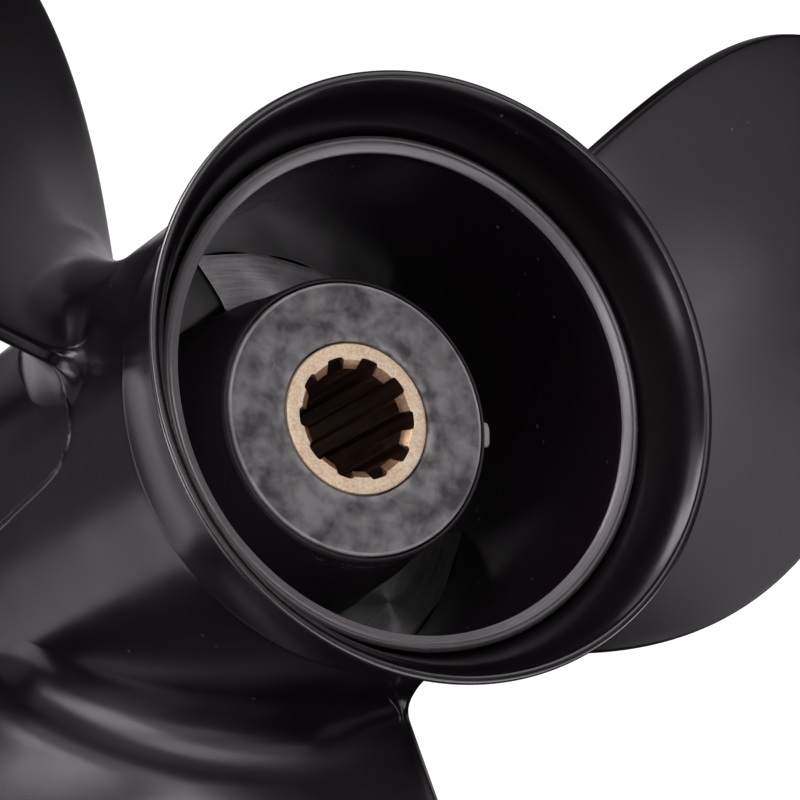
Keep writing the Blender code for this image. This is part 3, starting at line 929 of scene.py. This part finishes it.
# ------------------------------------------------------------------------ stage
def build_stage():
    """A plain white floor that runs into a plain white backdrop. Both glow evenly,
    so they stay white, and only the soft boxes show in the gloss."""
    n = Nodes("white_stage")
    g = n.noise(n.coord, 3.0, 2.0)
    col = n.mix(n.span(g, 0.3, 0.7, 0.0, 1.0), (0.10, 0.10, 0.10), (0.12, 0.12, 0.12))
    n.set(Base_Color=col, Roughness=0.95)
    n.bsdf.inputs["Specular IOR Level"].default_value = 0.0
    n.bsdf.inputs["Emission Color"].default_value = (1.0, 1.0, 1.0, 1.0)
    n.bsdf.inputs["Emission Strength"].default_value = 0.99
    size, low = 9.0, -0.0004
    around = 64
    for name, rings in (("studio_floor", [(size * i / 6, 0.0) for i in range(7)]),
                        ("studio_backdrop", [(size * math.cos(w), size * math.sin(w))
                                             for w in (math.radians(7.5 * i) for i in range(13))])):
        verts, faces = [], []
        for r, z in rings:
            for j in range(around):
                verts.append((max(r, 1e-4) * math.cos(TAU * j / around), max(r, 1e-4) * math.sin(TAU * j / around), z))
        for i in range(len(rings) - 1):
            for j in range(around):
                l = (j + 1) % around
                faces.append((i * around + j, i * around + l, (i + 1) * around + l, (i + 1) * around + j))
        me = bpy.data.meshes.new(name)
        me.from_pydata(verts, [], faces)
        me.materials.append(n.mat)
        ob = bpy.data.objects.new(name, me)
        ob.location = (0.0, 0.0, low)
        ob.visible_glossy = False
        ob.visible_shadow = False
        if name == "studio_backdrop":
            ob.visible_diffuse = False
        bpy.context.scene.collection.objects.link(ob)


def panel(name, az, el, wide, high, radiance, dist=1.3, colour=(1.0, 1.0, 1.0)):
    """A soft box seen from the propeller at azimuth az and elevation el, covering
    wide by high degrees, whose surface has the given radiance."""
    c = Vector((0.0, 0.0, 0.085))
    a, e = math.radians(az), math.radians(el)
    way = Vector((math.cos(e) * math.cos(a), math.cos(e) * math.sin(a), math.sin(e)))
    li = bpy.data.lights.new(name, "AREA")
    li.shape = "RECTANGLE"
    li.size = 2.0 * dist * math.tan(math.radians(0.5 * wide))
    li.size_y = 2.0 * dist * math.tan(math.radians(0.5 * high))
    li.energy = radiance * math.pi * li.size * li.size_y
    li.color = colour
    li.use_shadow = True
    ob = bpy.data.objects.new(name, li)
    ob.location = c + way * dist
    ob.rotation_euler = (-way).to_track_quat("-Z", "Y").to_euler()
    ob.visible_camera = False
    bpy.context.scene.collection.objects.link(ob)
    return ob


# azimuth, elevation, width and height in degrees as seen from the propeller; radiance
SOFT_BOXES = (
    (0, -85, 40, 40, 0.47), (45, -54, 28, 24, 0.6), (90, -54, 28, 24, 0.14), (180, -54, 28, 24, 0.18),
    (225, -54, 28, 24, 1.07), (25.7, -31, 24, 22, 0.41), (51.4, -31, 24, 22, 0.24), (77.1, -31, 24, 22, 0.17),
    (40, -11, 20, 18, 0.14), (60, -11, 20, 18, 0.11), (80, -11, 20, 18, 0.17), (180, -11, 20, 18, 0.45),
    (200, -11, 20, 18, 5.97), (220, -11, 20, 18, 1.72), (108, 9, 18, 18, 1.77), (126, 9, 18, 18, 7.57),
    (144, 9, 18, 18, 2.03), (162, 9, 18, 18, 0.5), (180, 9, 18, 18, 0.86), (198, 9, 18, 18, 4.23),
    (216, 9, 18, 18, 1.25), (342, 9, 18, 18, 4.11), (135, 28, 22, 20, 9.41), (180, 28, 22, 20, 0.16),
    (202.5, 28, 22, 20, 0.28), (247.5, 28, 22, 20, 0.25), (292.5, 28, 22, 20, 1.49), (315, 28, 22, 20, 3.19),
    (337.5, 28, 22, 20, 1), (60, 48, 22, 20, 1.52), (150, 48, 22, 20, 2.16), (300, 48, 22, 20, 1.93),
    (330, 48, 22, 20, 0.75), (60, 69, 24, 22, 1.03), (180, 69, 24, 22, 5.1), (300, 69, 24, 22, 2.48),
)


def build_light():
    world = bpy.data.worlds.new("studio")
    bpy.context.scene.world = world
    world.use_nodes = True
    t = world.node_tree
    bg = t.nodes["Background"]
    co = t.nodes.new("ShaderNodeTexCoord")
    sep = t.nodes.new("ShaderNodeSeparateXYZ")
    t.links.new(co.outputs["Generated"], sep.inputs[0])
    ramp = t.nodes.new("ShaderNodeValToRGB")
    cr = ramp.color_ramp
    cr.elements[0].position, cr.elements[0].color = 0.0, (0.004, 0.004, 0.004, 1.0)
    cr.elements[1].position, cr.elements[1].color = 0.03, (0.004, 0.004, 0.004, 1.0)
    t.links.new(sep.outputs[2], ramp.inputs["Fac"])
    t.links.new(ramp.outputs["Color"], bg.inputs["Color"])
    bg.inputs["Strength"].default_value = 1.0
    for i, (az, el, wide, high, radiance) in enumerate(SOFT_BOXES):
        panel("soft_box_%02d" % (i + 1), az, el, wide, high, radiance, colour=(1.06, 1.0, 1.055))


def build_camera():
    cam = bpy.data.cameras.new("camera")
    cam.lens = 144.0
    cam.sensor_width = 36.0
    cam.clip_start = 0.01
    cam.clip_end = 50.0
    ob = bpy.data.objects.new("camera", cam)
    right = Vector((0.89034202, 0.0, 0.45529231))
    up = Vector((-0.1291648, 0.95891415, 0.25258685))
    back = Vector((-0.43658624, -0.28369642, 0.85376156))
    m = Matrix((right, up, back)).transposed().to_4x4()
    m.translation = Vector((-0.22915, -0.14987, 0.55971))
    ob.matrix_world = m
    bpy.context.scene.collection.objects.link(ob)
    bpy.context.scene.camera = ob


build_stage()
build_light()
build_camera()
bpy.context.scene.view_settings.view_transform = "Standard"
bpy.context.scene.view_settings.look = "None"
